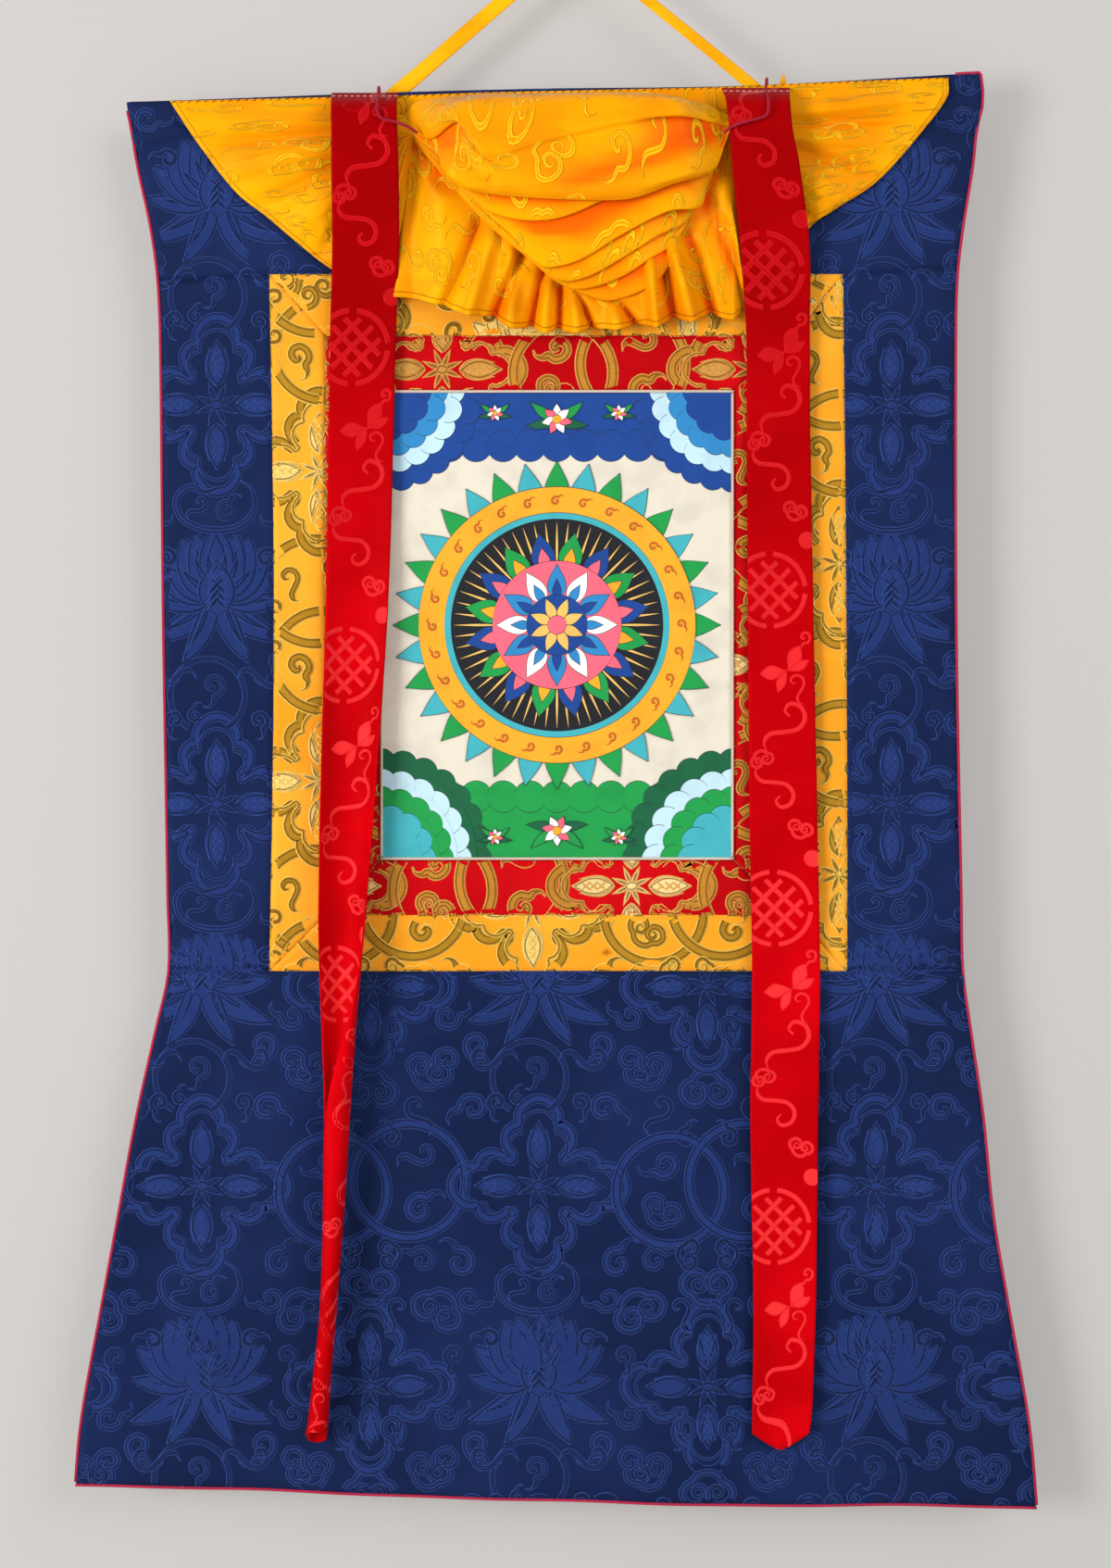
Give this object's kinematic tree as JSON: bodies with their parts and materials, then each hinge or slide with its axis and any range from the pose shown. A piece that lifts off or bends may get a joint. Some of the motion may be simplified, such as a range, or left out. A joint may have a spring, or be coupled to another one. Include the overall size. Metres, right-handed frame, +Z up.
{
  "type": "thangka scroll painting",
  "caption": "Thangka hanging scroll: painted canvas in red, gold and navy brocade borders, with a gathered yellow silk veil, red ribbons and a cloth strap.",
  "frame": {"origin": "top of the strap's loop, where the nail or hook holds it", "axes": "+Z up, -Y out of the painted front towards the viewer, +X to the viewer's right"},
  "size_m": [0.6208, 0.0499, 1.0137],
  "materials": {
    "navy": "tone on tone damask, satin",
    "gold": "gold silk brocade, satin",
    "red_brocade": "red and gold brocade, satin",
    "canvas": "painted cotton canvas, matt",
    "edging": "cream twisted cord, matt",
    "piping": "crimson silk edge, satin",
    "veil_silk": "yellow figured silk, glossy satin",
    "ribbon_silk": "red figured silk, satin",
    "strap_silk": "folded yellow silk, satin",
    "tie_cord": "crimson cord, matt"
  },
  "bodies": {
    "root": {"navy_top": "navy", "navy_left": "navy", "navy_right": "navy", "navy_bottom": "navy", "gold_border_top": "gold", "red_border_top": "red_brocade", "painting_edging_top": "edging", "gold_border_bottom": "gold", "red_border_bottom": "red_brocade", "painting_edging_bottom": "edging", "gold_border_left": "gold", "red_border_left": "red_brocade", "painting_edging_left": "edging", "gold_border_right": "gold", "red_border_right": "red_brocade", "painting_edging_right": "edging", "painting": "canvas", "edge_piping_left": "piping", "edge_piping_right": "piping", "edge_piping_bottom": "piping", "veil": "veil_silk", "ribbon_left": "ribbon_silk", "ribbon_right": "ribbon_silk", "hanging_strap": "strap_silk", "tie_left": "tie_cord", "tie_right": "tie_cord"}
  },
  "joints": []
}
